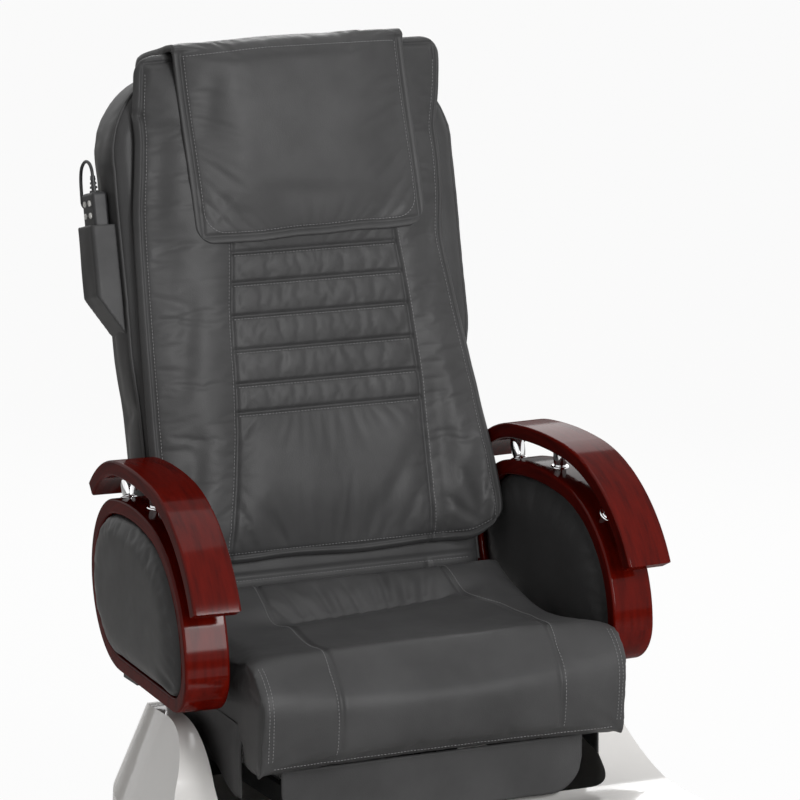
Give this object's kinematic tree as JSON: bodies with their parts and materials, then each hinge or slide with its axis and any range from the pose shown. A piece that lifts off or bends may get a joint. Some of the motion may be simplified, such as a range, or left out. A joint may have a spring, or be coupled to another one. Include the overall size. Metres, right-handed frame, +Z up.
{
  "type": "pedicure chair",
  "caption": "Pedicure spa chair: reclining upholstered seat with bentwood flip-up arms, side handset and massage unit on a white moulded base with a foot basin.",
  "frame": {"origin": "on the floor under the base, on the middle plane, below the front of the seat", "axes": "+Z up, the sitter faces -Y, +X to the sitter's left"},
  "size_m": [0.8, 1.4681, 1.4105],
  "materials": {
    "white_gelcoat": "glossy moulded white",
    "plinth_grey": "matt plinth board",
    "chrome": "polished",
    "pipe_grey": "moulded pipe",
    "black_plastic": "fine grained",
    "frame_black": "powder coated",
    "bright_steel": "drawn",
    "motor_grey": "painted",
    "plywood": "plain",
    "leatherette": "dark grey, fine grain, satin",
    "mahogany": "dark red gloss lacquer",
    "handset_black": "glossy",
    "button_white": "satin",
    "lead_black": "matt",
    "roller_rubber": "matt"
  },
  "bodies": {
    "base": {"base_shell": "white_gelcoat", "base_board": "plinth_grey", "foot_basin": "white_gelcoat", "footrest": "white_gelcoat", "basin_drain": "chrome", "drain_pipe": "pipe_grey", "water_jets": "chrome", "tap_body": "chrome", "mains_inlet": "black_plastic", "base_frame": "frame_black", "slide_rails": "bright_steel", "slide_actuator": "motor_grey"},
    "tap_handle": {"tap_lever": "chrome"},
    "plug": {"drain_plug": "chrome"},
    "seat": {"slide_runners": "black_plastic", "slide_rod": "bright_steel", "seat_frame": "frame_black", "seat_board": "plywood", "seat_cushion": "leatherette", "front_skirt": "leatherette", "seat_valance_left": "leatherette", "seat_valance_right": "leatherette", "recline_actuator": "motor_grey", "recline_hinge_plates": "frame_black", "recline_pins": "bright_steel", "arm_bracket_left": "frame_black", "arm_bracket_right": "frame_black", "arm_pins": "bright_steel"},
    "recline_drive": {"recline_rod": "bright_steel"},
    "backrest": {"back_frame": "frame_black", "back_shell": "leatherette", "back_cushion": "leatherette", "back_pad": "leatherette", "head_pillow": "leatherette", "massage_guides": "bright_steel", "side_pocket": "leatherette", "lead_grommet": "lead_black", "handset_lead": "lead_black"},
    "handset": {"handset_case": "handset_black", "handset_strain_relief": "lead_black"},
    "arm_left": {"arm_rail_left": "mahogany", "arm_ring_left": "mahogany", "arm_panel_left": "leatherette", "arm_spacers_left": "chrome", "arm_hinge_left": "frame_black"},
    "arm_right": {"arm_rail_right": "mahogany", "arm_ring_right": "mahogany", "arm_panel_right": "leatherette", "arm_spacers_right": "chrome", "arm_hinge_right": "frame_black"},
    "carriage": {"massage_carriage": "black_plastic", "massage_motor": "motor_grey"},
    "screw": {"lead_screw": "bright_steel"},
    "kneader": {"kneading_shaft": "bright_steel", "massage_rollers": "roller_rubber"},
    "button_1": {"handset_button_1": "button_white"},
    "button_2": {"handset_button_2": "button_white"},
    "button_3": {"handset_button_3": "button_white"},
    "button_4": {"handset_button_4": "button_white"}
  },
  "joints": [
    {"name": "seat_slide", "type": "slide", "parent": "base", "child": "seat", "axis": [0, -1, 0], "range_m": [0, 0.12]},
    {"name": "recline", "type": "hinge", "parent": "seat", "child": "backrest", "pos_m": [0, 0.505, 0.555], "axis": [-1, 0, 0], "range_deg": [0, 35]},
    {"name": "recline_rod_slide", "type": "slide", "parent": "seat", "child": "recline_drive", "axis": [0, -1, 0], "range_m": [0, 0.0842]},
    {"name": "arm_left_flip", "type": "hinge", "parent": "seat", "child": "arm_left", "pos_m": [-0.307, 0.505, 0.512], "axis": [-1, 0, 0], "range_deg": [0, 55]},
    {"name": "arm_right_flip", "type": "hinge", "parent": "seat", "child": "arm_right", "pos_m": [0.307, 0.505, 0.512], "axis": [-1, 0, 0], "range_deg": [0, 55]},
    {"name": "handset_lift", "type": "slide", "parent": "backrest", "child": "handset", "axis": [0, 0.225, 0.9744], "range_m": [0, 0.1], "deforming": ["handset_lead"]},
    {"name": "carriage_travel", "type": "slide", "parent": "backrest", "child": "carriage", "axis": [0, 0.225, 0.9744], "range_m": [0, 0.3]},
    {"name": "screw_spin", "type": "hinge", "parent": "backrest", "child": "screw", "pos_m": [0, 0.59328, 0.91297], "axis": [0, 0.225, 0.9744], "range_deg": [0, 1800]},
    {"name": "kneading_spin", "type": "hinge", "parent": "carriage", "child": "kneader", "pos_m": [0, 0.5399, 0.76621], "axis": [1, 0, 0], "continuous": true},
    {"name": "tap_turn", "type": "hinge", "parent": "base", "child": "tap_handle", "pos_m": [-0.313, -0.4, 0.46], "axis": [0, 0, 1], "range_deg": [-45, 45]},
    {"name": "plug_lift", "type": "slide", "parent": "base", "child": "plug", "axis": [0, 0, 1], "range_m": [0, 0.012]},
    {"name": "button_1_press", "type": "slide", "parent": "handset", "child": "button_1", "axis": [1, 0, 0], "range_m": [0, 0.0015], "stiffness_N_per_m": 300},
    {"name": "button_2_press", "type": "slide", "parent": "handset", "child": "button_2", "axis": [1, 0, 0], "range_m": [0, 0.0015], "stiffness_N_per_m": 300},
    {"name": "button_3_press", "type": "slide", "parent": "handset", "child": "button_3", "axis": [1, 0, 0], "range_m": [0, 0.0015], "stiffness_N_per_m": 300},
    {"name": "button_4_press", "type": "slide", "parent": "handset", "child": "button_4", "axis": [1, 0, 0], "range_m": [0, 0.0015], "stiffness_N_per_m": 300}
  ],
  "couplings": [
    {"joint": "recline_rod_slide", "follows": "recline", "m_per_rad": 0.13783},
    {"joint": "screw_spin", "follows": "carriage_travel", "rad_per_m": 104.72}
  ]
}
